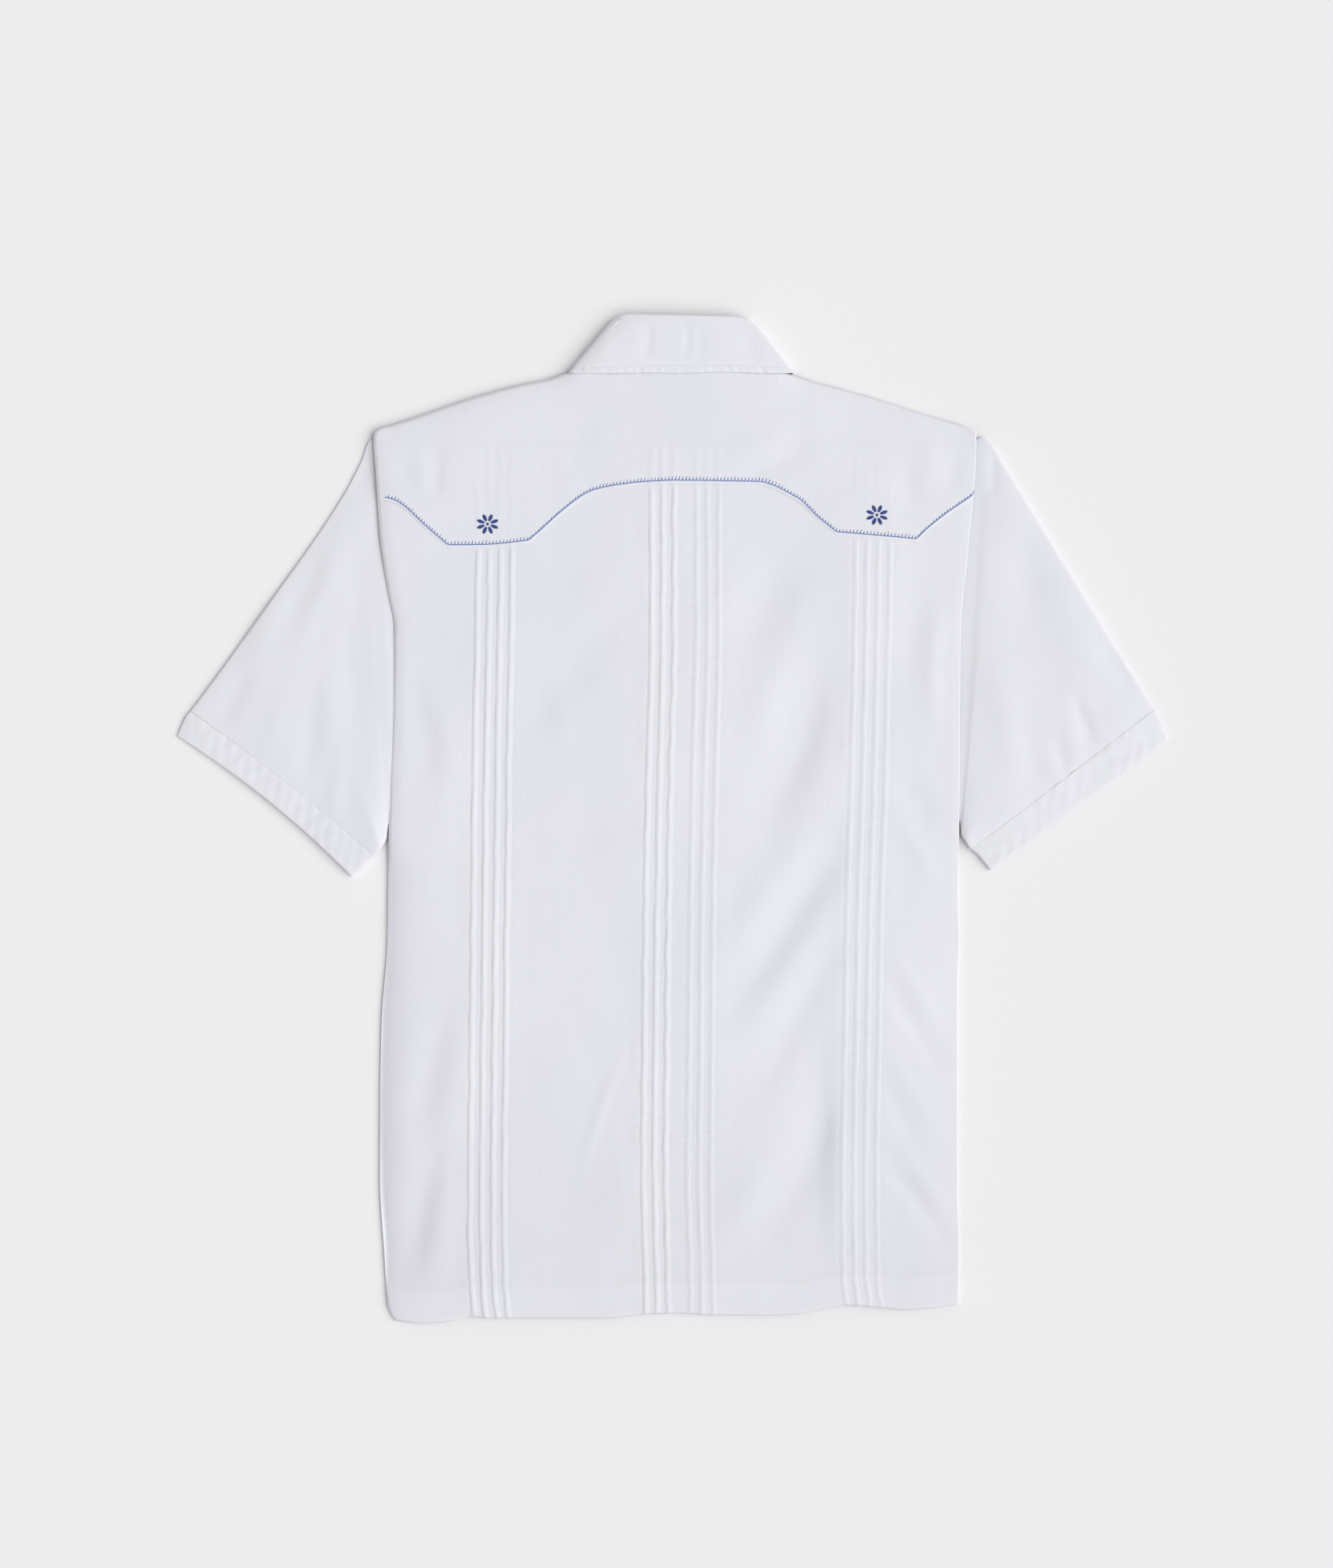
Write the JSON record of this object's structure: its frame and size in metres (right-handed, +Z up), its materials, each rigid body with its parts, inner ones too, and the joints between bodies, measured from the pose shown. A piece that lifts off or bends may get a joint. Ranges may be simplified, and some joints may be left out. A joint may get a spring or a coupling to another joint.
{
  "type": "guayabera shirt",
  "caption": "Short-sleeved pleated shirt with a pointed western back yoke and turned-up cuffs, buttoned and laid out flat, face down.",
  "frame": {"origin": "on the surface that the shirt lies on, under the middle of its box", "axes": "+Z up from the surface, out of the shirt's back; +Y towards the collar; +X towards the wearer's right sleeve"},
  "size_m": [0.8011, 0.8154, 0.0112],
  "materials": {
    "white_cotton": "matte, fine plain weave",
    "white_shell": "satin"
  },
  "bodies": {
    "root": {"back_panel": "white_cotton", "back_yoke": "white_cotton", "front_left": "white_cotton", "front_right": "white_cotton", "front_placket": "white_cotton", "sleeve_left": "white_cotton", "sleeve_right": "white_cotton", "cuff_left": "white_cotton", "cuff_right": "white_cotton", "collar_leaf": "white_cotton", "collar_stand": "white_cotton", "button_1": "white_shell", "button_2": "white_shell", "button_3": "white_shell", "button_4": "white_shell", "button_5": "white_shell", "button_6": "white_shell", "button_7": "white_shell"}
  },
  "joints": []
}
